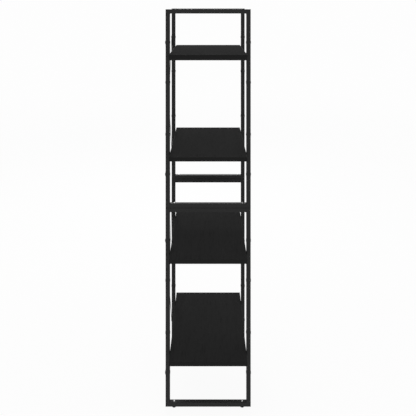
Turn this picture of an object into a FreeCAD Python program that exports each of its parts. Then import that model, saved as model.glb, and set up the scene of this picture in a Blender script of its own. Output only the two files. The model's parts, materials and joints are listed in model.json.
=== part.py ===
import FreeCAD, Part

import math
import os

import Sketcher

# A narrow open bookcase: two end frames of square tube, each made of two closed loops stacked one on the
# other, four boards on cross rails that pass both frames, crossed strips at the back and four screw feet.
# +X runs along the boards, -Y is the front, +Z is up, and the origin is on the floor under the middle.

SIZES = {
    # End frames
    "frame_width": 300,
    "frame_depth": 300,
    "loop_height": 700,
    "tube_side": 15,
    "tube_wall": 1,
    "tube_radius": 1.5,
    # Cross rails and boards
    "shelf_pitch": 350,
    "shelf_rail_rise": 10,
    "board_length": 400,
    "board_depth": 268.5,
    "board_thickness": 15,
    "band_thickness": 1,
    # Cross holes in the uprights, measured from the middle of a loop
    "near_hole": 92,
    "far_hole": 233,
    "cross_hole_width": 7.2,
    # Back braces
    "brace_width": 10,
    "brace_thickness": 0.8,
    "brace_end": 7,
    "brace_gap": 0.05,
    "joggle_half": 30,
    "joggle_ramp": 25,
    "brace_hole_width": 5.6,
    "brace_bolt_width": 5,
    "brace_bolt_length": 13,
    "brace_head_width": 10.5,
    "brace_corner": 4.5,
    "brace_head_rise": 1.2,
    "sleeve_width": 7,
    "sleeve_length": 11,
    # Low round heads that show on the uprights' faces
    "cap_width": 11,
    "cap_rise": 1,
    "cap_edge": 0.3,
    "plug_stem": 4,
    # Shelf screws
    "screw_spread": 100,
    "screw_hole_width": 5,
    "screw_width": 4,
    "pilot_width": 4.1,
    "pilot_depth": 12,
    "screw_bite": 11,
    "screw_head_width": 8,
    "screw_head_rise": 2.4,
    "screw_head_edge": 0.8,
    "screw_access_width": 9.5,
    # Rivet nuts, stacking bolts and feet share the same places along the rails
    "foot_spread": 120,
    "rivet_hole_width": 8.2,
    "rivet_sleeve_width": 8,
    "rivet_sleeve_length": 8,
    "rivet_flange_width": 9.2,
    "rivet_flange_rise": 0.8,
    "rivet_bore": 6.1,
    "stacking_hole_width": 9.8,
    "stacking_bolt_width": 6,
    "stacking_head_width": 11.5,
    "stacking_head_rise": 2,
    "stacking_access_width": 12,
    "socket_width": 4,
    "socket_depth": 0.8,
    "thread_gap": 0.05,
    "foot_rise": 3,
    "pad_width": 15,
    "pad_thickness": 2,
    "pad_bevel": 0.6,
    "stud_width": 6,
    "stud_seat": 1,
    "end_show": 2.2,
    "end_bevel": 0.8,
}

doc = FreeCAD.newDocument("bookcase")
sheet = doc.addObject("Spreadsheet::Sheet", "Sizes")
for row, (alias, value) in enumerate(SIZES.items(), start=1):
    sheet.set(f"A{row}", alias)
    sheet.set(f"B{row}", str(value))
    sheet.setAlias(f"B{row}", alias)
doc.recompute()

# Places that many pieces share, as expressions on the sheet
TUBE_X = "(Sizes.frame_width - Sizes.tube_side) / 2"
TUBE_Y = "(Sizes.frame_depth - Sizes.tube_side) / 2"
OUTER_FACE = "Sizes.frame_depth / 2"
CLEAR_DEPTH = "(Sizes.frame_depth - 2 * Sizes.tube_side)"
LOOPS = {
    "lower": "Sizes.foot_rise",
    "upper": "(Sizes.foot_rise + Sizes.loop_height)",
}
ENDS = {"left": "-", "right": ""}
SIDES = {"front": "-", "back": ""}
SHELF_RAILS = {"low": "-", "high": "+"}
BOARDS = {
    ("lower", "low"): "bottom_shelf",
    ("lower", "high"): "second_shelf",
    ("upper", "low"): "third_shelf",
    ("upper", "high"): "top_shelf",
}

# Turns that lay a piece modelled along its own Z axis
UPRIGHT_FRONT = FreeCAD.Rotation()
UPRIGHT_BACK = FreeCAD.Rotation(FreeCAD.Vector(0, 0, 1), 180)
RAIL_FACING_UP = FreeCAD.Rotation(FreeCAD.Vector(0, 1, 1), 180)
RAIL_FACING_DOWN = FreeCAD.Rotation(FreeCAD.Vector(1, 0, 0), -90)
HEAD_TO_FRONT = FreeCAD.Rotation(FreeCAD.Vector(1, 0, 0), 90)
HEAD_TO_BACK = FreeCAD.Rotation(FreeCAD.Vector(1, 0, 0), -90)
HEAD_UP = FreeCAD.Rotation()
HEAD_DOWN = FreeCAD.Rotation(FreeCAD.Vector(1, 0, 0), 180)

nodes = []


def size_of(expression):
    """The number that an expression on the sheet comes to."""
    return float(sheet.evalExpression(expression))


def place(thing, rotation, x="0", y="0", z="0"):
    """Turns a piece and ties its place to expressions on the sheet."""
    thing.Placement = FreeCAD.Placement(FreeCAD.Vector(), rotation)
    for axis, expression in zip("xyz", (x, y, z)):
        thing.setExpression(f"Placement.Base.{axis}", expression)


def new_body(label):
    body = doc.addObject("PartDesign::Body", label)
    body.Label = label
    return body


def new_sketch(body, plane, name):
    """A sketch on one of the body's own origin planes."""
    sketch = body.newObject("Sketcher::SketchObject", name)
    origin_plane = next(f for f in body.Origin.OriginFeatures if f.Role == plane)
    sketch.AttachmentSupport = (origin_plane, "")
    sketch.MapMode = "FlatFace"
    return sketch


def measure(sketch, kind, places, expression):
    """A dimension in a sketch that follows an expression on the sheet."""
    index = sketch.addConstraint(Sketcher.Constraint(kind, *places, size_of(expression)))
    sketch.setExpression(f"Constraints[{index}]", expression)


def draw_outline(sketch, corners):
    """A closed outline of straight lines; each corner is a pair of expressions from the origin."""
    points = [FreeCAD.Vector(size_of(across), size_of(up)) for across, up in corners]
    lines = []
    for start, end in zip(points, points[1:] + points[:1]):
        lines.append(sketch.addGeometry(Part.LineSegment(start, end)))
    for line, following in zip(lines, lines[1:] + lines[:1]):
        sketch.addConstraint(Sketcher.Constraint("Coincident", line, 2, following, 1))
    for line, (across, up) in zip(lines, corners):
        measure(sketch, "DistanceX", (-1, 1, line, 1), across)
        measure(sketch, "DistanceY", (-1, 1, line, 1), up)


def draw_circle(sketch, across, up, width):
    centre = FreeCAD.Vector(size_of(across), size_of(up))
    circle = sketch.addGeometry(Part.Circle(centre, FreeCAD.Vector(0, 0, 1), size_of(width) / 2))
    measure(sketch, "DistanceX", (-1, 1, circle, 3), across)
    measure(sketch, "DistanceY", (-1, 1, circle, 3), up)
    measure(sketch, "Diameter", (circle,), width)


def draw_rounded_rectangle(sketch, width, rise, radius):
    """A rectangle with rounded corners about the sketch's origin."""
    right = size_of(width) / 2
    top = size_of(rise) / 2
    corner = size_of(radius)
    lines = []
    arcs = []
    for quarter in range(4):
        turn = FreeCAD.Rotation(FreeCAD.Vector(0, 0, 1), 90 * quarter)
        along, out = (right, top) if quarter % 2 == 0 else (top, right)
        start = turn.multVec(FreeCAD.Vector(corner - along, -out))
        end = turn.multVec(FreeCAD.Vector(along - corner, -out))
        centre = turn.multVec(FreeCAD.Vector(along - corner, corner - out))
        circle = Part.Circle(centre, FreeCAD.Vector(0, 0, 1), corner)
        first_angle = math.radians(90 * quarter - 90)
        lines.append(sketch.addGeometry(Part.LineSegment(start, end)))
        arcs.append(sketch.addGeometry(Part.ArcOfCircle(circle, first_angle, first_angle + math.pi / 2)))
    for quarter in range(4):
        direction = "Horizontal" if quarter % 2 == 0 else "Vertical"
        sketch.addConstraint(Sketcher.Constraint(direction, lines[quarter]))
        sketch.addConstraint(Sketcher.Constraint("Tangent", lines[quarter], 2, arcs[quarter], 1))
        sketch.addConstraint(Sketcher.Constraint("Tangent", arcs[quarter], 2, lines[(quarter + 1) % 4], 1))
    for arc in arcs[1:]:
        sketch.addConstraint(Sketcher.Constraint("Equal", arcs[0], arc))
    bottom_line, right_line, top_line, left_line = lines
    sketch.addConstraint(Sketcher.Constraint("Symmetric", bottom_line, 1, top_line, 1, -1, 1))
    measure(sketch, "Radius", (arcs[0],), radius)
    measure(sketch, "DistanceX", (left_line, 1, right_line, 1), width)
    measure(sketch, "DistanceY", (bottom_line, 1, top_line, 1), rise)


def add_pad(body, sketch, length, symmetric=False):
    pad = body.newObject("PartDesign::Pad", "Pad")
    pad.Profile = sketch
    pad.SideType = "Symmetric" if symmetric else "One side"
    pad.setExpression("Length", length)
    return pad


def add_pocket(body, sketch, depth, side="Symmetric", reverse=False):
    """A pocket that must take material away, so that one pointing the wrong way is noticed."""
    doc.recompute()
    volume_before = body.Shape.Volume
    pocket = body.newObject("PartDesign::Pocket", "Pocket")
    pocket.Profile = sketch
    pocket.SideType = side
    pocket.Reversed = reverse
    pocket.setExpression("Length", depth)
    doc.recompute()
    if body.Shape.Volume >= volume_before:
        raise RuntimeError(f"a pocket in {body.Label} cuts nothing")
    return pocket


def add_revolution(body, corners):
    """A round solid about the body's Z axis, from an outline of (radius, height) pairs."""
    sketch = new_sketch(body, "XZ_Plane", "Profile")
    draw_outline(sketch, corners)
    revolution = body.newObject("PartDesign::Revolution", "Revolution")
    revolution.Profile = sketch
    revolution.ReferenceAxis = (sketch, ["V_Axis"])
    revolution.Angle = 360
    return revolution


def add_hex_socket(body, top):
    """A six-sided key socket sunk from the top of a head."""
    sketch = new_sketch(body, "XY_Plane", "Socket")
    corner_radius = "Sizes.socket_width / sqrt(3)"
    draw_outline(
        sketch,
        [(f"{corner_radius} * cos({60 * k} deg)", f"{corner_radius} * sin({60 * k} deg)") for k in range(6)],
    )
    sketch.setExpression("AttachmentOffset.Base.z", top)
    add_pocket(body, sketch, "Sizes.socket_depth", side="One side")


def make_tube(
    label, side, rise, length, mitred, holes=(), hole_width="", access_width="", access_inside=False
):
    """A tube along its own Z axis. Its +Y side faces into the loop, where mitred ends are the shorter.

    The holes go through both walls on the Y sides, at the given heights. An access width makes them
    wider in one of the two walls, so that a bolt or screw head can pass.
    """
    body = new_body(label)
    profile = new_sketch(body, "XY_Plane", "Profile")
    draw_rounded_rectangle(profile, side, rise, "Sizes.tube_radius")
    draw_rounded_rectangle(
        profile,
        f"{side} - 2 * Sizes.tube_wall",
        f"{rise} - 2 * Sizes.tube_wall",
        "Sizes.tube_radius - Sizes.tube_wall",
    )
    add_pad(body, profile, length)
    if mitred:
        mitre = new_sketch(body, "YZ_Plane", "Mitre")
        outer = f"-{rise} / 2"
        inner = f"{rise} / 2"
        draw_outline(mitre, [(outer, "0"), (inner, "0"), (inner, rise)])
        draw_outline(mitre, [(outer, length), (inner, f"{length} - {rise}"), (inner, length)])
        add_pocket(body, mitre, f"2 * {side}")
    if holes:
        drilling = new_sketch(body, "XZ_Plane", "Holes")
        for height in holes:
            draw_circle(drilling, "0", height, hole_width)
        add_pocket(body, drilling, f"2 * {rise}")
    if holes and access_width:
        access = new_sketch(body, "XZ_Plane", "AccessHoles")
        for height in holes:
            draw_circle(access, "0", height, access_width)
        add_pocket(body, access, rise, side="One side", reverse=not access_inside)
    nodes.append(body)
    return body


def make_loop(level, base, end, sign):
    """One closed loop of an end frame with its two shelf rails."""
    name = f"{level}_{end}"
    x = f"{sign}{TUBE_X}"
    middle = "Sizes.loop_height / 2"
    cross_holes = [f"{middle} {way} Sizes.{hole}" for way in "-+" for hole in ("near_hole", "far_hole")]
    for side, side_sign in SIDES.items():
        upright = make_tube(
            f"{name}_{side}_upright",
            "Sizes.tube_side",
            "Sizes.tube_side",
            "Sizes.loop_height",
            mitred=True,
            holes=cross_holes,
            hole_width="Sizes.cross_hole_width",
        )
        rotation = UPRIGHT_FRONT if side == "front" else UPRIGHT_BACK
        place(upright, rotation, x, f"{side_sign}{TUBE_Y}", base)

    foot_places = [f"Sizes.frame_depth / 2 {way} Sizes.foot_spread" for way in "-+"]
    bottom_rail = make_tube(
        f"{name}_bottom_rail",
        "Sizes.tube_side",
        "Sizes.tube_side",
        "Sizes.frame_depth",
        mitred=True,
        holes=foot_places,
        hole_width="Sizes.rivet_hole_width",
    )
    place(bottom_rail, RAIL_FACING_UP, x, f"-{OUTER_FACE}", f"{base} + Sizes.tube_side / 2")

    top_rail = make_tube(
        f"{name}_top_rail",
        "Sizes.tube_side",
        "Sizes.tube_side",
        "Sizes.frame_depth",
        mitred=True,
        holes=foot_places if level == "lower" else (),
        hole_width="Sizes.stacking_hole_width",
        access_width="Sizes.stacking_access_width",
        access_inside=True,
    )
    top = f"{base} + Sizes.loop_height - Sizes.tube_side / 2"
    place(top_rail, RAIL_FACING_DOWN, x, f"-{OUTER_FACE}", top)

    screw_places = [f"{CLEAR_DEPTH} / 2 {way} Sizes.screw_spread" for way in "-+"]
    for rail, way in SHELF_RAILS.items():
        shelf_rail = make_tube(
            f"{name}_{rail}_shelf_rail",
            "Sizes.tube_side",
            "Sizes.shelf_rail_rise",
            CLEAR_DEPTH,
            mitred=False,
            holes=screw_places,
            hole_width="Sizes.screw_hole_width",
            access_width="Sizes.screw_access_width",
        )
        place(shelf_rail, RAIL_FACING_UP, x, f"-{CLEAR_DEPTH} / 2", shelf_rail_height(base, way))


def shelf_rail_height(base, way):
    """The middle height of a shelf rail: half a shelf pitch above or below the loop's middle."""
    return f"{base} + Sizes.loop_height / 2 {way} Sizes.shelf_pitch / 2"


def make_board(label):
    """A shelf board without its edge bands, with pilot holes for the shelf screws in its underside."""
    body = new_body(label)
    outline = new_sketch(body, "XY_Plane", "Outline")
    right = "(Sizes.board_length / 2 - Sizes.band_thickness)"
    back = "(Sizes.board_depth / 2 - Sizes.band_thickness)"
    corners = [(f"-{right}", f"-{back}"), (right, f"-{back}"), (right, back), (f"-{right}", back)]
    draw_outline(outline, corners)
    add_pad(body, outline, "Sizes.board_thickness")
    pilots = new_sketch(body, "XY_Plane", "Pilots")
    for end_sign in ENDS.values():
        for way in ("-", ""):
            draw_circle(pilots, f"{end_sign}{TUBE_X}", f"{way}Sizes.screw_spread", "Sizes.pilot_width")
    add_pocket(body, pilots, "Sizes.pilot_depth", side="One side", reverse=True)
    nodes.append(body)
    return body


def make_edge_bands(label, z):
    """Four strips round a board: the two long ones cover the ends of the two short ones."""
    long_strip = ("Sizes.board_length", "Sizes.band_thickness")
    short_strip = ("Sizes.band_thickness", "Sizes.board_depth - 2 * Sizes.band_thickness")
    half_length = "Sizes.board_length / 2"
    half_depth = "Sizes.board_depth / 2"
    strips = [
        (long_strip, f"-{half_length}", f"-{half_depth}"),
        (long_strip, f"-{half_length}", f"{half_depth} - Sizes.band_thickness"),
        (short_strip, f"-{half_length}", f"-{half_depth} + Sizes.band_thickness"),
        (short_strip, f"{half_length} - Sizes.band_thickness", f"-{half_depth} + Sizes.band_thickness"),
    ]
    boxes = []
    for (length, width), x, y in strips:
        box = doc.addObject("Part::Box", "EdgeBand")
        box.setExpression("Length", length)
        box.setExpression("Width", width)
        box.setExpression("Height", "Sizes.board_thickness")
        place(box, FreeCAD.Rotation(), x, y, z)
        boxes.append(box)
    add_group(label, boxes)


def make_brace(label, joggled, axis_y, z):
    """A flat strip from bolt to bolt. The joggled one steps out over the other where they cross."""
    body = new_body(label)
    reach = f"(sqrt(({TUBE_X}) ^ 2 + Sizes.far_hole ^ 2) + Sizes.brace_end)"
    thick = "Sizes.brace_thickness"
    side_view = new_sketch(body, "XY_Plane", "SideView")
    if joggled:
        step = f"({thick} + Sizes.brace_gap)"
        crest = "Sizes.joggle_half"
        foot = "(Sizes.joggle_half + Sizes.joggle_ramp)"
        inside = [(f"-{reach}", "0"), (f"-{foot}", "0"), (f"-{crest}", step)]
        inside += [(crest, step), (foot, "0"), (reach, "0")]
    else:
        inside = [(f"-{reach}", "0"), (reach, "0")]
    outside = [(across, f"{up} + {thick}") for across, up in reversed(inside)]
    draw_outline(side_view, inside + outside)
    add_pad(body, side_view, "Sizes.brace_width", symmetric=True)

    bolt_holes = new_sketch(body, "XZ_Plane", "BoltHoles")
    for way in ("-", ""):
        hole_place = f"{way}({reach} - Sizes.brace_end)"
        draw_circle(bolt_holes, hole_place, "0", "Sizes.brace_hole_width")
    drilled = add_pocket(body, bolt_holes, f"4 * {thick}")

    end = size_of(reach)
    half_width = size_of("Sizes.brace_width / 2")
    corner_edges = []
    for number, edge in enumerate(body.Shape.Edges, start=1):
        middle = edge.CenterOfMass
        at_corner = math.isclose(abs(middle.x), end) and math.isclose(abs(middle.z), half_width)
        if at_corner and edge.Length < half_width:
            corner_edges.append(f"Edge{number}")
    rounding = body.newObject("PartDesign::Fillet", "EndRounding")
    rounding.Base = (drilled, corner_edges)
    rounding.setExpression("Radius", "Sizes.brace_corner")

    slope = f"atan(Sizes.far_hole / ({TUBE_X}))"
    place(body, FreeCAD.Rotation(FreeCAD.Vector(0, axis_y, 0), size_of(slope)), "0", OUTER_FACE, z)
    body.setExpression("Placement.Rotation.Angle", slope)
    nodes.append(body)


def round_piece(name, corners):
    """A small turned piece that a group repeats; its Z axis is its own axis."""
    body = new_body(name)
    add_revolution(body, corners)
    return body


def add_group(label, pieces):
    """Separate solids that share one node."""
    group = doc.addObject("Part::Compound", label)
    group.Label = label
    group.Links = pieces
    nodes.append(group)


def copies(piece, places):
    """The piece repeated at each (rotation, x, y, z)."""
    links = []
    for rotation, x, y, z in places:
        link = doc.addObject("App::Link", f"{piece.Label}_copy")
        link.LinkedObject = piece
        place(link, rotation, x, y, z)
        links.append(link)
    return links


def make_brace_fasteners():
    """Low-headed bolts through the braces and the sleeve nuts that they screw into."""
    head = "Sizes.brace_head_width / 2"
    shank = "Sizes.brace_bolt_width / 2"
    bolt = round_piece(
        "brace_bolt",
        [
            ("0", "-Sizes.brace_bolt_length"),
            (shank, "-Sizes.brace_bolt_length"),
            (shank, "0"),
            (head, "0"),
            (head, "Sizes.cap_edge"),
            (f"{head} - Sizes.brace_head_rise", "Sizes.brace_head_rise"),
            ("0", "Sizes.brace_head_rise"),
        ],
    )
    add_hex_socket(bolt, "Sizes.brace_head_rise")
    bore = "Sizes.brace_bolt_width / 2 + Sizes.thread_gap"
    sleeve = "Sizes.sleeve_width / 2"
    cap = "Sizes.cap_width / 2"
    sleeve_nut = round_piece(
        "sleeve_nut",
        [
            (bore, "-Sizes.sleeve_length"),
            (sleeve, "-Sizes.sleeve_length"),
            (sleeve, "0"),
            (cap, "0"),
            (cap, "Sizes.cap_edge"),
            (f"{cap} - Sizes.cap_rise", "Sizes.cap_rise"),
            ("0", "Sizes.cap_rise"),
            ("0", "-Sizes.tube_wall"),
            (bore, "-Sizes.tube_wall"),
        ],
    )
    bolt_places = []
    nut_places = []
    for base in LOOPS.values():
        for sign in ENDS.values():
            for way in "-+":
                x = f"{sign}{TUBE_X}"
                z = f"{base} + Sizes.loop_height / 2 {way} Sizes.far_hole"
                bolt_places.append((HEAD_TO_BACK, x, f"{OUTER_FACE} + Sizes.brace_thickness", z))
                nut_places.append((HEAD_TO_FRONT, x, f"{OUTER_FACE} - Sizes.tube_side", z))
    add_group("brace_bolts", copies(bolt, bolt_places))
    add_group("brace_sleeve_nuts", copies(sleeve_nut, nut_places))


def make_hole_plugs():
    """Plugs in the cross holes that no brace uses, on the outer and the inner faces of the uprights."""
    stem = "Sizes.sleeve_width / 2"
    cap = "Sizes.cap_width / 2"
    plug = round_piece(
        "hole_plug",
        [
            ("0", "-Sizes.plug_stem"),
            (stem, "-Sizes.plug_stem"),
            (stem, "0"),
            (cap, "0"),
            (cap, "Sizes.cap_edge"),
            (f"{cap} - Sizes.cap_rise", "Sizes.cap_rise"),
            ("0", "Sizes.cap_rise"),
        ],
    )
    inner_face = f"({OUTER_FACE} - Sizes.tube_side)"
    plugged = [("front", hole) for hole in ("near_hole", "far_hole")] + [("back", "near_hole")]
    places = []
    for base in LOOPS.values():
        for sign in ENDS.values():
            for side, hole in plugged:
                outward = HEAD_TO_FRONT if side == "front" else HEAD_TO_BACK
                inward = HEAD_TO_BACK if side == "front" else HEAD_TO_FRONT
                for way in "-+":
                    x = f"{sign}{TUBE_X}"
                    z = f"{base} + Sizes.loop_height / 2 {way} Sizes.{hole}"
                    places.append((outward, x, f"{SIDES[side]}{OUTER_FACE}", z))
                    places.append((inward, x, f"{SIDES[side]}{inner_face}", z))
    add_group("hole_plugs", copies(plug, places))


def make_shelf_screws():
    """Screws inside the shelf rails, up through their top walls into the boards."""
    shank = "Sizes.screw_width / 2"
    head = "Sizes.screw_head_width / 2"
    length = "(Sizes.tube_wall + Sizes.screw_bite)"
    screw = round_piece(
        "shelf_screw",
        [
            ("0", f"-{length}"),
            (shank, f"-{length} + {shank}"),
            (shank, "0"),
            (head, "0"),
            (head, "Sizes.screw_head_edge"),
            (f"{head} / 2", "Sizes.screw_head_rise"),
            ("0", "Sizes.screw_head_rise"),
        ],
    )
    places = []
    for base in LOOPS.values():
        for rail_way in SHELF_RAILS.values():
            seat = f"{shelf_rail_height(base, rail_way)} + Sizes.shelf_rail_rise / 2 - Sizes.tube_wall"
            for sign in ENDS.values():
                for way in SIDES.values():
                    places.append((HEAD_DOWN, f"{sign}{TUBE_X}", f"{way}Sizes.screw_spread", seat))
    add_group("shelf_screws", copies(screw, places))


def make_rail_fasteners():
    """Rivet nuts in every bottom rail, and the bolts that hold an upper loop on a lower one."""
    bore = "Sizes.rivet_bore / 2"
    sleeve = "Sizes.rivet_sleeve_width / 2"
    flange = "Sizes.rivet_flange_width / 2"
    rivet_nut = round_piece(
        "rivet_nut",
        [
            (bore, "-Sizes.rivet_sleeve_length"),
            (sleeve, "-Sizes.rivet_sleeve_length"),
            (sleeve, "0"),
            (flange, "0"),
            (flange, "Sizes.rivet_flange_rise"),
            (bore, "Sizes.rivet_flange_rise"),
        ],
    )
    shank = "Sizes.stacking_bolt_width / 2"
    head = "Sizes.stacking_head_width / 2"
    length = "(Sizes.tube_wall + Sizes.tube_side + Sizes.end_show)"
    stacking_bolt = round_piece(
        "stacking_bolt",
        [
            ("0", f"-{length}"),
            (f"{shank} - Sizes.end_bevel", f"-{length}"),
            (shank, f"-{length} + Sizes.end_bevel"),
            (shank, "0"),
            (head, "0"),
            (head, "Sizes.stacking_head_rise / 2"),
            (f"{head} - Sizes.stacking_head_rise", "Sizes.stacking_head_rise"),
            ("0", "Sizes.stacking_head_rise"),
        ],
    )
    add_hex_socket(stacking_bolt, "Sizes.stacking_head_rise")
    nut_places = []
    bolt_places = []
    for sign in ENDS.values():
        for way in SIDES.values():
            x = f"{sign}{TUBE_X}"
            y = f"{way}Sizes.foot_spread"
            for base in LOOPS.values():
                nut_places.append((HEAD_DOWN, x, y, base))
            bolt_places.append((HEAD_DOWN, x, y, f"{LOOPS['upper']} - Sizes.tube_wall"))
    add_group("rail_rivet_nuts", copies(rivet_nut, nut_places))
    add_group("stacking_bolts", copies(stacking_bolt, bolt_places))


def make_foot(name, x, y):
    """A levelling foot: a round pad with a threaded stud that rises through the bottom rail."""
    pad = "Sizes.pad_width / 2"
    stud = "Sizes.stud_width / 2"
    seat = f"{stud} + Sizes.thread_gap"
    foot_pad = round_piece(
        f"{name}_foot_pad",
        [
            ("0", "0"),
            (f"{pad} - Sizes.pad_bevel", "0"),
            (pad, "Sizes.pad_bevel"),
            (pad, "Sizes.pad_thickness"),
            (seat, "Sizes.pad_thickness"),
            (seat, "Sizes.stud_seat"),
            ("0", "Sizes.stud_seat"),
        ],
    )
    stud_top = "Sizes.foot_rise + Sizes.tube_side + Sizes.end_show"
    foot_stud = round_piece(
        f"{name}_foot_stud",
        [
            ("0", "Sizes.stud_seat"),
            (stud, "Sizes.stud_seat"),
            (stud, f"{stud_top} - Sizes.end_bevel"),
            (f"{stud} - Sizes.end_bevel", stud_top),
            ("0", stud_top),
        ],
    )
    for piece in (foot_pad, foot_stud):
        place(piece, HEAD_UP, x, y)
        nodes.append(piece)


for level, base in LOOPS.items():
    for end, sign in ENDS.items():
        make_loop(level, base, end, sign)
for (level, rail), name in BOARDS.items():
    board_bottom = f"{shelf_rail_height(LOOPS[level], SHELF_RAILS[rail])} + Sizes.shelf_rail_rise / 2"
    place(make_board(f"{name}_board"), FreeCAD.Rotation(), z=board_bottom)
    make_edge_bands(f"{name}_edge_bands", board_bottom)
for level, base in LOOPS.items():
    crossing = f"{base} + Sizes.loop_height / 2"
    make_brace(f"{level}_inner_brace", joggled=False, axis_y=-1, z=crossing)
    make_brace(f"{level}_outer_brace", joggled=True, axis_y=1, z=crossing)
make_brace_fasteners()
make_hole_plugs()
make_shelf_screws()
make_rail_fasteners()
for side, way in SIDES.items():
    for end, sign in ENDS.items():
        make_foot(f"{side}_{end}", f"{sign}{TUBE_X}", f"{way}Sizes.foot_spread")

doc.recompute()
for thing in doc.Objects:
    if "Invalid" in thing.State or "Error" in thing.State:
        raise RuntimeError(f"{thing.Label} did not recompute: {thing.State}")
for node in nodes:
    if node.Shape.isNull() or not node.Shape.isValid():
        raise RuntimeError(f"{node.Label} has no valid shape")

os.makedirs("parts", exist_ok=True)
for node in nodes:
    node.Shape.exportStep(f"parts/{node.Label}.step")
print(f"{len(nodes)} nodes, {sum(len(node.Shape.Solids) for node in nodes)} solids")
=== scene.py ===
import json
import math

import bmesh
import bpy
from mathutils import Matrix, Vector


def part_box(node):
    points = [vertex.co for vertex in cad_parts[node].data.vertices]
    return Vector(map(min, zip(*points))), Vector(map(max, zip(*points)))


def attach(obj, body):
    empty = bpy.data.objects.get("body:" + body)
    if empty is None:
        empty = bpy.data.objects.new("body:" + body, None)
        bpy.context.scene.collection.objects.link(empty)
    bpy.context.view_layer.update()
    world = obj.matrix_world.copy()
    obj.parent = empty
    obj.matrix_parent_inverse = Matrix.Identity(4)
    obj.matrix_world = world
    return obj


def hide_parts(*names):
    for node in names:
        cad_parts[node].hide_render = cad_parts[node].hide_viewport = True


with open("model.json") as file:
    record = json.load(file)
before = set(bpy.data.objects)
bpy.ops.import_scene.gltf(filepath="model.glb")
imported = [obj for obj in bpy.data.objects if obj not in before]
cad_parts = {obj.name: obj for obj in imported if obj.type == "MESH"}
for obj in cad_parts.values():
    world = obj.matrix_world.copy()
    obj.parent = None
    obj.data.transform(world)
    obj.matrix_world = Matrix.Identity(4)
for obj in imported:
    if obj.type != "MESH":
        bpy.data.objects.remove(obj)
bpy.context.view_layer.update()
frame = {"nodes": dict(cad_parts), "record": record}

# Looks for a narrow open bookcase: black coated tube end frames, black boards with banded edges,
# crossed strips at the back and screw feet. Metres, +X along the boards, -Y the front, +Z up.

MM = 0.001
ROOT = "bookcase"
FEET = [f"{side}_{end}" for side in ("front", "back") for end in ("left", "right")]
LOOPS = [f"{level}_{end}" for level in ("lower", "upper") for end in ("left", "right")]
SHELVES = ("bottom", "second", "third", "top")

# The photograph's frame, in its own pixels: where the horizon and the middle of the bookcase lie, and
# the focal length that gives the far end frame its size.
PHOTO_SIDE = 416
HORIZON_ROW = 4.0
MIDDLE_COLUMN = 208.14
FOCAL_PIXELS = 485.1
EYE_HEIGHT = 1421.6 * MM
EYE_TO_FRAME = 1708 * MM
SENSOR_WIDTH = 36.0

# Studio: the white that the camera sees, the light of the surround, and a round lamp's power, width,
# place and aim.
SEEN_WHITE = 0.985
SURROUND_LIGHT = 0.72
LAMP_POWER = 38.0
LAMP_WIDTH = 1.6
LAMP_PLACE = Vector((2.2, 0.25, 2.2))
LAMP_AIM = Vector((0, 0, 0.8))

# Floor: how much of it is plain white, and the shares of its radius between which it fades out.
FLOOR_RADIUS = 7.0
FLOOR_SEGMENTS = 96
FLOOR_TONE = 0.97
FLOOR_LIFT = 0.95
FLOOR_FADE_START = 0.2
FLOOR_FADE_END = 0.95

# Surface textures: scales in cells a metre, and the shares and stretch that shape them.
COAT_SCALES = {"Grain Scale": 900, "Drift Scale": 9}
PLATED_SCALES = {"Grain Scale": 2600, "Drift Scale": 60}
MOULDED_SCALES = {"Grain Scale": 1800, "Drift Scale": 25}
FACE_SCALES = {"Streak Scale": 34, "Pore Scale": 420}
BAND_SCALES = {"Streak Scale": 60, "Pore Scale": 520}
PEEL_CELL_SCALE = 0.5
PEEL_CELL_SHARE = 0.6
GRAIN_STRETCH = 0.045
GRAIN_BEND = 0.018
STREAK_SHARE = 0.3

# The boards are very matt: with more than a trace of gloss the top one, seen low, mirrors the surround.
BOARD_GLOSS = 0.0002

# Edge bands of the boards
BAND_ROUNDING = 0.45 * MM
BAND_ROUNDING_STEPS = 4
BAND_JOINT = 0.02 * MM

# Foot studs and stacking bolts
TURN_STEPS = 36
THREAD_STEPS = 6
STUD_PITCH = 1.0 * MM
STUD_THREAD_DEPTH = 0.5 * MM
END_BEVEL = 0.8 * MM
BOLT_RADIUS = 3.0 * MM
BOLT_HEAD_RADIUS = 5.75 * MM
BOLT_HEAD_RISE = 2.0 * MM
SOCKET_WIDTH = 4.0 * MM
SOCKET_DEPTH = 0.8 * MM

# Shelf screws, whose heads bear on the inside of a rail's upper wall
TUBE_WALL = 1.0 * MM
SCREW_RADIUS = 2.0 * MM
SCREW_POINT = 0.2 * MM
SCREW_BITE = 11 * MM
SCREW_PITCH = 1.8 * MM
SCREW_THREAD_DEPTH = 0.55 * MM
SCREW_HEAD_RADIUS = 4.0 * MM
SCREW_HEAD_RISE = 2.4 * MM
DOME_STEPS = 6
DOME_FLAT = 0.6
CROSS_ARM = 4.4 * MM
CROSS_WIDTH = 1.0 * MM
CROSS_DEPTH = 1.5 * MM

# Weld beads: ripple, ends and crown as shares of the leg, and how steeply the ends swell.
WELD_LEG = 1.7 * MM
WELD_RIPPLE = 1.3 * MM
WELD_ROWS_PER_RIPPLE = 5
WELD_RIPPLE_DEPTH = 0.12
WELD_END_SIZE = 0.35
WELD_END_RISE = 8
WELD_CROWN_HIGH = 0.62
WELD_CROWN_LOW = 0.38

# Faces that meet at more than this angle keep a sharp edge.
SHARP_ANGLE = math.radians(35)


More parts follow.
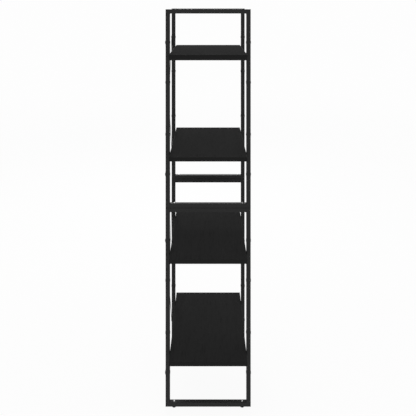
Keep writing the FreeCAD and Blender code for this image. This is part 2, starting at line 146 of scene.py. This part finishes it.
def add_camera():
    """A level camera at the left end, its lens shifted down so that the uprights stay parallel."""
    data = bpy.data.cameras.new("end_view")
    data.sensor_width = SENSOR_WIDTH
    data.lens = FOCAL_PIXELS / PHOTO_SIDE * SENSOR_WIDTH
    data.shift_x = (PHOTO_SIDE / 2 - MIDDLE_COLUMN) / PHOTO_SIDE
    data.shift_y = (HORIZON_ROW - PHOTO_SIDE / 2) / PHOTO_SIDE
    camera = bpy.data.objects.new("end_view", data)
    frame_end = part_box("lower_left_front_upright")[0].x
    camera.location = (frame_end - EYE_TO_FRAME, 0, EYE_HEIGHT)
    camera.rotation_euler = (math.radians(90), 0, math.radians(-90))
    bpy.context.scene.collection.objects.link(camera)
    bpy.context.scene.camera = camera


def add_node(tree, kind, sockets=None, **properties):
    """A shader node with its own properties and the starting values of its sockets."""
    made = tree.nodes.new("ShaderNode" + kind)
    for name, value in properties.items():
        setattr(made, name, value)
    for name, value in (sockets or {}).items():
        made.inputs[name].default_value = value
    return made


def new_group(name, inputs, outputs):
    """A shader node group with number sockets; returns its tree and its two end nodes."""
    tree = bpy.data.node_groups.new(name, "ShaderNodeTree")
    for socket, value in inputs.items():
        made = tree.interface.new_socket(socket, in_out="INPUT", socket_type="NodeSocketFloat")
        made.default_value = value
    for socket in outputs:
        tree.interface.new_socket(socket, in_out="OUTPUT", socket_type="NodeSocketFloat")
    return tree, tree.nodes.new("NodeGroupInput"), tree.nodes.new("NodeGroupOutput")


def grey(level):
    return (level, level, level, 1)


def add_seen_mask(tree):
    """A mask that is one for what is seen, straight on or in gloss or glass, and zero for lighting."""
    path = add_node(tree, "LightPath")
    camera_or_gloss = add_node(tree, "Math", operation="MAXIMUM")
    any_seen = add_node(tree, "Math", operation="MAXIMUM")
    tree.links.new(path.outputs["Is Camera Ray"], camera_or_gloss.inputs[0])
    tree.links.new(path.outputs["Is Glossy Ray"], camera_or_gloss.inputs[1])
    tree.links.new(camera_or_gloss.outputs["Value"], any_seen.inputs[0])
    tree.links.new(path.outputs["Is Transmission Ray"], any_seen.inputs[1])
    return any_seen.outputs["Value"]


def light_studio():
    """A plain white surround and one broad soft lamp, high up beyond the far end."""
    world = bpy.data.worlds.new("studio")
    bpy.context.scene.world = world
    world.use_nodes = True
    tree = world.node_tree
    tree.nodes.clear()
    lighting = add_node(tree, "Background", {"Color": grey(1), "Strength": SURROUND_LIGHT})
    seen = add_node(tree, "Background", {"Color": grey(1), "Strength": SEEN_WHITE})
    mix = add_node(tree, "MixShader")
    out = add_node(tree, "OutputWorld")
    tree.links.new(add_seen_mask(tree), mix.inputs["Fac"])
    tree.links.new(lighting.outputs["Background"], mix.inputs[1])
    tree.links.new(seen.outputs["Background"], mix.inputs[2])
    tree.links.new(mix.outputs["Shader"], out.inputs["Surface"])

    lamp_data = bpy.data.lights.new("soft_lamp", "AREA")
    lamp_data.shape = "DISK"
    lamp_data.size = LAMP_WIDTH
    lamp_data.energy = LAMP_POWER
    lamp = bpy.data.objects.new("soft_lamp", lamp_data)
    lamp.location = LAMP_PLACE
    lamp.rotation_euler = (LAMP_AIM - LAMP_PLACE).to_track_quat("-Z", "Y").to_euler()
    lamp.visible_camera = False
    bpy.context.scene.collection.objects.link(lamp)


def lay_floor():
    """A pale floor that keeps a faint shadow and fades into the white surround."""
    material = bpy.data.materials.new("pale_floor")
    material.use_nodes = True
    tree = material.node_tree
    tree.nodes.clear()
    paint = add_node(tree, "BsdfDiffuse", {"Color": grey(FLOOR_TONE)})
    white = add_node(tree, "Emission", {"Strength": SEEN_WHITE})
    whitening = add_node(tree, "Math", {1: FLOOR_LIFT}, operation="MULTIPLY")
    lift = add_node(tree, "MixShader")
    clear = add_node(tree, "BsdfTransparent")
    place = add_node(tree, "NewGeometry")
    distance = add_node(tree, "VectorMath", operation="LENGTH")
    rim_range = {"From Min": FLOOR_FADE_START * FLOOR_RADIUS, "From Max": FLOOR_FADE_END * FLOOR_RADIUS}
    rim = add_node(tree, "MapRange", rim_range, interpolation_type="SMOOTHSTEP")
    fade = add_node(tree, "MixShader")
    out = add_node(tree, "OutputMaterial")
    tree.links.new(add_seen_mask(tree), whitening.inputs[0])
    tree.links.new(whitening.outputs["Value"], lift.inputs["Fac"])
    tree.links.new(paint.outputs["BSDF"], lift.inputs[1])
    tree.links.new(white.outputs["Emission"], lift.inputs[2])
    tree.links.new(place.outputs["Position"], distance.inputs[0])
    tree.links.new(distance.outputs["Value"], rim.inputs["Value"])
    tree.links.new(rim.outputs["Result"], fade.inputs["Fac"])
    tree.links.new(lift.outputs["Shader"], fade.inputs[1])
    tree.links.new(clear.outputs["BSDF"], fade.inputs[2])
    tree.links.new(fade.outputs["Shader"], out.inputs["Surface"])

    mesh = bpy.data.meshes.new("floor")
    disc = bmesh.new()
    bmesh.ops.create_circle(disc, cap_ends=True, segments=FLOOR_SEGMENTS, radius=FLOOR_RADIUS)
    disc.to_mesh(mesh)
    disc.free()
    mesh.materials.append(material)
    floor = bpy.data.objects.new("floor", mesh)
    bpy.context.scene.collection.objects.link(floor)


def make_stipple_group():
    """The fine orange peel of a sprayed or moulded skin, and its slow drift in tone."""
    tree, start, end = new_group("fine_stipple", COAT_SCALES, ["Height", "Tone"])
    place = add_node(tree, "TexCoord")
    peel = add_node(tree, "TexNoise", {"Detail": 2.0, "Roughness": 0.45})
    cells = add_node(tree, "TexVoronoi", feature="SMOOTH_F1")
    cell_scale = add_node(tree, "Math", {1: PEEL_CELL_SCALE}, operation="MULTIPLY")
    height = add_node(tree, "Math", {1: PEEL_CELL_SHARE}, operation="MULTIPLY_ADD")
    drift = add_node(tree, "TexNoise", {"Detail": 4.0, "Roughness": 0.55})
    tone = add_node(tree, "MapRange", {"From Min": 0.3, "From Max": 0.7})
    for texture in (peel, cells, drift):
        tree.links.new(place.outputs["Object"], texture.inputs["Vector"])
    tree.links.new(start.outputs["Grain Scale"], peel.inputs["Scale"])
    tree.links.new(start.outputs["Grain Scale"], cell_scale.inputs[0])
    tree.links.new(cell_scale.outputs["Value"], cells.inputs["Scale"])
    tree.links.new(start.outputs["Drift Scale"], drift.inputs["Scale"])
    tree.links.new(cells.outputs["Distance"], height.inputs[0])
    tree.links.new(peel.outputs["Fac"], height.inputs[2])
    tree.links.new(drift.outputs["Fac"], tone.inputs["Value"])
    tree.links.new(height.outputs["Value"], end.inputs["Height"])
    tree.links.new(tone.outputs["Result"], end.inputs["Tone"])
    return tree


def make_grain_group():
    """Long pressed wood grain along X: broad streaks, and fine open pores that are low and dark."""
    tree, start, end = new_group("pressed_grain", FACE_SCALES, ["Height", "Tone"])
    place = add_node(tree, "TexCoord")
    stretch = add_node(tree, "Mapping", {"Scale": (GRAIN_STRETCH, 1, 1)})
    warp = add_node(tree, "TexNoise", {"Scale": 5.0, "Detail": 2.0})
    bend = add_node(tree, "VectorMath", {1: (0, GRAIN_BEND, GRAIN_BEND)}, operation="MULTIPLY")
    follow = add_node(tree, "VectorMath", operation="ADD")
    streaks = add_node(tree, "TexNoise", {"Detail": 5.0, "Roughness": 0.6})
    pores = add_node(tree, "TexNoise", {"Detail": 1.0, "Roughness": 0.4})
    broad = add_node(tree, "MapRange", {"From Min": 0.32, "From Max": 0.68})
    broad_share = add_node(tree, "Math", {1: STREAK_SHARE}, operation="MULTIPLY")
    tone = add_node(tree, "Math", {1: 1 - STREAK_SHARE}, operation="MULTIPLY_ADD")
    open_pores = add_node(tree, "MapRange", {"From Min": 0.28, "From Max": 0.46})
    tree.links.new(place.outputs["Object"], stretch.inputs["Vector"])
    tree.links.new(place.outputs["Object"], warp.inputs["Vector"])
    tree.links.new(warp.outputs["Color"], bend.inputs[0])
    tree.links.new(stretch.outputs["Vector"], follow.inputs[0])
    tree.links.new(bend.outputs["Vector"], follow.inputs[1])
    tree.links.new(follow.outputs["Vector"], streaks.inputs["Vector"])
    tree.links.new(follow.outputs["Vector"], pores.inputs["Vector"])
    tree.links.new(start.outputs["Streak Scale"], streaks.inputs["Scale"])
    tree.links.new(start.outputs["Pore Scale"], pores.inputs["Scale"])
    tree.links.new(streaks.outputs["Fac"], broad.inputs["Value"])
    tree.links.new(broad.outputs["Result"], broad_share.inputs[0])
    tree.links.new(pores.outputs["Fac"], open_pores.inputs["Value"])
    tree.links.new(open_pores.outputs["Result"], tone.inputs[0])
    tree.links.new(broad_share.outputs["Value"], tone.inputs[2])
    tree.links.new(open_pores.outputs["Result"], end.inputs["Height"])
    tree.links.new(tone.outputs["Value"], end.inputs["Tone"])
    return tree


def make_finish(name, group, scales, tones, roughness, relief, specular, metallic=0.0, haze=0.0):
    """A finish whose colour, roughness and relief come from one of the surface groups.

    tones and roughness are the pair of values that the group's tone runs between; relief is in metres;
    haze is a slight lightening at low angles.
    """
    material = bpy.data.materials.new(name)
    material.use_nodes = True
    tree = material.node_tree
    shader = tree.nodes["Principled BSDF"]
    shader.inputs["Specular IOR Level"].default_value = specular
    shader.inputs["Metallic"].default_value = metallic
    shader.inputs["Sheen Weight"].default_value = haze
    surface = add_node(tree, "Group", node_tree=group)
    for socket, value in scales.items():
        surface.inputs[socket].default_value = value
    colour = add_node(tree, "MixRGB", {"Color1": grey(tones[0]), "Color2": grey(tones[1])})
    gloss = add_node(tree, "MapRange", {"To Min": roughness[0], "To Max": roughness[1]})
    bump = add_node(tree, "Bump", {"Strength": 1.0, "Distance": relief})
    tree.links.new(surface.outputs["Tone"], colour.inputs["Fac"])
    tree.links.new(surface.outputs["Tone"], gloss.inputs["Value"])
    tree.links.new(surface.outputs["Height"], bump.inputs["Height"])
    tree.links.new(colour.outputs["Color"], shader.inputs["Base Color"])
    tree.links.new(gloss.outputs["Result"], shader.inputs["Roughness"])
    tree.links.new(bump.outputs["Normal"], shader.inputs["Normal"])
    return material


def make_finishes():
    """One finish for each material slot of the record."""
    stipple = make_stipple_group()
    grain = make_grain_group()
    return {
        "black_frame": make_finish(
            "satin_coat", stipple, COAT_SCALES,
            tones=(0.0168, 0.0206), roughness=(0.5, 0.6), relief=0.05 * MM, specular=0.18,
        ),
        "dark_board": make_finish(
            "board_face", grain, FACE_SCALES,
            tones=(0.0161, 0.0229), roughness=(0.84, 0.96), relief=0.03 * MM,
            specular=BOARD_GLOSS, haze=0.015,
        ),
        "dark_edge": make_finish(
            "edge_band", grain, BAND_SCALES,
            tones=(0.0095, 0.0137), roughness=(0.7, 0.8), relief=0.03 * MM, specular=0.1,
        ),
        "black_plug": make_finish(
            "hole_plug", stipple, MOULDED_SCALES,
            tones=(0.017, 0.021), roughness=(0.45, 0.6), relief=0.02 * MM, specular=0.25,
        ),
        "black_fastener": make_finish(
            "dark_oxide", stipple, PLATED_SCALES,
            tones=(0.016, 0.024), roughness=(0.35, 0.5), relief=0.01 * MM, specular=0.4,
        ),
        "bright_steel": make_finish(
            "zinc_plate", stipple, PLATED_SCALES,
            tones=(0.36, 0.46), roughness=(0.28, 0.42), relief=0.01 * MM, specular=0.5, metallic=1.0,
        ),
        "black_pad": make_finish(
            "foot_moulding", stipple, MOULDED_SCALES,
            tones=(0.012, 0.016), roughness=(0.5, 0.65), relief=0.03 * MM, specular=0.2,
        ),
    }


def dress_nodes(finishes):
    """Gives every CAD node its finish."""
    for entry in frame["record"]["subparts"]:
        node = frame["nodes"][entry["node"]]
        node.data.materials.clear()
        node.data.materials.append(finishes[entry["material_slot"]])


def add_piece(name, shape, material, body):
    """A new mesh piece from a bmesh, riding on a body."""
    mesh = bpy.data.meshes.new(name)
    bmesh.ops.recalc_face_normals(shape, faces=shape.faces)
    shape.to_mesh(mesh)
    shape.free()
    mesh.shade_smooth()
    mesh.set_sharp_from_angle(angle=SHARP_ANGLE)
    mesh.materials.append(material)
    piece = bpy.data.objects.new(name, mesh)
    bpy.context.scene.collection.objects.link(piece)
    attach(piece, body)
    return piece


def add_skin(shape, rows, place):
    """A closed skin over rows of points, flat at its first and last row, moved to place."""
    rings = [[shape.verts.new(Vector(point) + place) for point in row] for row in rows]
    count = len(rings[0])
    for low, high in zip(rings, rings[1:]):
        for k in range(count):
            following = (k + 1) % count
            shape.faces.new((low[k], low[following], high[following], high[k]))
    shape.faces.new(list(reversed(rings[0])))
    shape.faces.new(rings[-1])


def ring(radius_at, z):
    """A row of points round the Z axis; radius_at gives the radius for an angle."""
    turns = [math.tau * k / TURN_STEPS for k in range(TURN_STEPS)]
    return [(radius_at(turn) * math.cos(turn), radius_at(turn) * math.sin(turn), z) for turn in turns]


def circle(radius):
    return lambda turn: radius


def hexagon(turn):
    """The wall of a six-sided key socket."""
    from_flat = (turn + math.pi / 6) % (math.pi / 3) - math.pi / 6
    return SOCKET_WIDTH / 2 / math.cos(from_flat)


def cross(turn):
    """The wall of a cross recess: the larger reach of two slots at right angles."""
    along = max(abs(math.cos(turn)), abs(math.sin(turn)))
    across = max(min(abs(math.cos(turn)), abs(math.sin(turn))), CROSS_WIDTH / CROSS_ARM / 2)
    return min(CROSS_ARM / 2 / along, CROSS_WIDTH / 2 / across)


def thread_rows(low, high, radius, depth, pitch, limit):
    """Rows of points up a screw thread: the radius runs in and out with height and turn.

    limit gives the largest radius allowed at a height, for a bevelled or pointed end.
    """
    count = math.ceil((high - low) / pitch * THREAD_STEPS)
    rows = []
    for step in range(count + 1):
        z = low + (high - low) * step / count

        def radius_at(turn):
            ridge = abs((z / pitch - turn / math.tau) % 1 * 2 - 1)
            return min(radius - depth * (1 - ridge), limit(z))

        rows.append(ring(radius_at, z))
    return rows


def bevelled(radius, top):
    """The largest radius at a height of a stud whose end at top is bevelled."""
    return lambda z: radius - max(0.0, z - (top - END_BEVEL))


def quarter_turn():
    """The angles through a band's rounded edge."""
    return [math.pi / 2 * step / BAND_ROUNDING_STEPS for step in range(BAND_ROUNDING_STEPS + 1)]


def band_section(thickness, low, high):
    """Points round a band's section, out from the board and up: its two outer edges are rounded."""
    points = [(0, low)]
    for turn_start, z in ((-math.pi / 2, low + BAND_ROUNDING), (0, high - BAND_ROUNDING)):
        for turn in quarter_turn():
            out = thickness - BAND_ROUNDING + BAND_ROUNDING * math.cos(turn_start + turn)
            points.append((out, z + BAND_ROUNDING * math.sin(turn_start + turn)))
    return points + [(0, high)]


def band_boards(finish):
    """Strips with rounded outer edges round each board, in place of the square ones.

    The two long ones cover the ends of the two short ones, and their own ends are rounded too. Each kind
    of strip is a list of sections, with how far along the strip each one is.
    """
    for shelf in SHELVES:
        node = f"{shelf}_shelf_edge_bands"
        board_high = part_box(f"{shelf}_shelf_board")[1]
        low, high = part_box(node)
        thickness = high.x - board_high.x
        middle = Vector(((low.x + high.x) / 2, (low.y + high.y) / 2, 0))
        half_x = board_high.x - middle.x
        half_y = board_high.y - middle.y
        rounded_end = []
        for turn in quarter_turn():
            along = half_x + thickness - BAND_ROUNDING * (1 - math.sin(turn))
            sunk = BAND_ROUNDING * (1 - math.cos(turn))
            rounded_end.append((along, band_section(thickness - sunk, low.z + sunk, high.z - sunk)))
        long_strip = [(-along, section) for along, section in reversed(rounded_end)] + rounded_end
        full_section = band_section(thickness, low.z, high.z)
        short_strip = [(end * (half_y - BAND_JOINT), full_section) for end in (-1, 1)]
        shape = bmesh.new()
        for side in (-1, 1):
            long_rows = [
                [(along, side * (half_y + out), z) for out, z in section] for along, section in long_strip
            ]
            short_rows = [
                [(side * (half_x + out), along, z) for out, z in section] for along, section in short_strip
            ]
            add_skin(shape, long_rows, middle)
            add_skin(shape, short_rows, middle)
        bands = add_piece(f"{shelf}_shelf_rounded_bands", shape, finish, ROOT)
        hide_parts(node)


def thread_foot_studs(finish):
    """Threaded studs in place of the plain ones; their ends show above the bottom rails."""
    for foot in FEET:
        node = f"{foot}_foot_stud"
        low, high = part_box(node)
        radius = (high.x - low.x) / 2
        shape = bmesh.new()
        rows = thread_rows(low.z, high.z, radius, STUD_THREAD_DEPTH, STUD_PITCH, bevelled(radius, high.z))
        add_skin(shape, rows, Vector(((low.x + high.x) / 2, (low.y + high.y) / 2, 0)))
        stud = add_piece(f"{foot}_threaded_stud", shape, finish, f"{foot}_foot")
        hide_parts(node)


def thread_stacking_bolts(finish):
    """Threaded bolts with key sockets in place of the plain ones between the stacked loops."""
    low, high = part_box("stacking_bolts")
    length = high.z - low.z - BOLT_HEAD_RISE
    head = BOLT_HEAD_RADIUS
    rows = [
        ring(hexagon, SOCKET_DEPTH - BOLT_HEAD_RISE),
        ring(hexagon, -BOLT_HEAD_RISE),
        ring(circle(head - BOLT_HEAD_RISE), -BOLT_HEAD_RISE),
        ring(circle(head), -BOLT_HEAD_RISE / 2),
        ring(circle(head), 0),
    ]
    end = bevelled(BOLT_RADIUS, length)
    rows += thread_rows(0, length, BOLT_RADIUS, STUD_THREAD_DEPTH, STUD_PITCH, end)
    shape = bmesh.new()
    for x in (low.x + head, high.x - head):
        for y in (low.y + head, high.y - head):
            add_skin(shape, rows, Vector((x, y, low.z + BOLT_HEAD_RISE)))
    bolts = add_piece("threaded_stacking_bolts", shape, finish, ROOT)
    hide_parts("stacking_bolts")


def thread_shelf_screws(finish):
    """Pointed screws with cross recesses in place of the plain ones inside the shelf rails."""
    length = TUBE_WALL + SCREW_BITE
    rows = [ring(cross, CROSS_DEPTH - SCREW_HEAD_RISE), ring(cross, -SCREW_HEAD_RISE)]
    for step in range(DOME_STEPS + 1):
        angle = math.pi / 2 * step / DOME_STEPS
        radius = SCREW_HEAD_RADIUS * (DOME_FLAT + (1 - DOME_FLAT) * math.sin(angle))
        rows.append(ring(circle(radius), -SCREW_HEAD_RISE * math.cos(angle)))

    def pointed(z):
        return max(SCREW_POINT, min(SCREW_RADIUS, length - z))

    rows += thread_rows(0, length, SCREW_RADIUS, SCREW_THREAD_DEPTH, SCREW_PITCH, pointed)
    screws_low, screws_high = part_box("shelf_screws")
    shape = bmesh.new()
    for loop in LOOPS:
        for rail in ("low", "high"):
            low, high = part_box(f"{loop}_{rail}_shelf_rail")
            for y in (screws_low.y + SCREW_HEAD_RADIUS, screws_high.y - SCREW_HEAD_RADIUS):
                add_skin(shape, rows, Vector(((low.x + high.x) / 2, y, high.z - TUBE_WALL)))
    screws = add_piece("cross_head_screws", shape, finish, ROOT)
    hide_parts("shelf_screws")


def add_weld_bead(shape, middle, length, toward_y, toward_z):
    """A rippled fillet along X in an inside corner; its legs run toward_y and toward_z from middle."""
    ripples = round(length / WELD_RIPPLE)
    rows = []
    count = ripples * WELD_ROWS_PER_RIPPLE
    for step in range(count + 1):
        along = step / count
        ripple = 1 - WELD_RIPPLE_DEPTH + WELD_RIPPLE_DEPTH * math.cos(math.tau * ripples * along)
        end_taper = min(1.0, WELD_END_RISE * min(along, 1 - along) + WELD_END_SIZE)
        leg = WELD_LEG * ripple * end_taper
        high = WELD_CROWN_HIGH * leg
        low = WELD_CROWN_LOW * leg
        x = (along - 1 / 2) * length
        profile = ((0, 0), (leg, 0), (high, low), (low, high), (0, leg))
        rows.append([(x, toward_y * across, toward_z * up) for across, up in profile])
    add_skin(shape, rows, middle)


def weld_loops(finish):
    """Small beads in the inside corners of each loop and under the ends of its shelf rails."""
    for loop in LOOPS:
        shape = bmesh.new()
        rail_low, rail_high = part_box(f"{loop}_bottom_rail")
        top_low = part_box(f"{loop}_top_rail")[0]
        tube = rail_high.z - rail_low.z
        x = (rail_low.x + rail_high.x) / 2
        bead = tube - 2 * WELD_LEG
        inside = rail_high.y - tube
        for side in (-1, 1):
            add_weld_bead(shape, Vector((x, side * inside, rail_high.z)), bead, -side, 1)
            add_weld_bead(shape, Vector((x, side * inside, top_low.z)), bead, -side, -1)
            for rail in ("low", "high"):
                shelf_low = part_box(f"{loop}_{rail}_shelf_rail")[0]
                add_weld_bead(shape, Vector((x, side * inside, shelf_low.z)), bead, -side, -1)
        welds = add_piece(f"{loop}_welds", shape, finish, ROOT)


add_camera()
light_studio()
lay_floor()
finishes = make_finishes()
dress_nodes(finishes)
band_boards(finishes["dark_edge"])
thread_foot_studs(finishes["bright_steel"])
thread_stacking_bolts(finishes["bright_steel"])
thread_shelf_screws(finishes["black_fastener"])
weld_loops(finishes["black_frame"])
bpy.context.scene.view_settings.view_transform = "Standard"
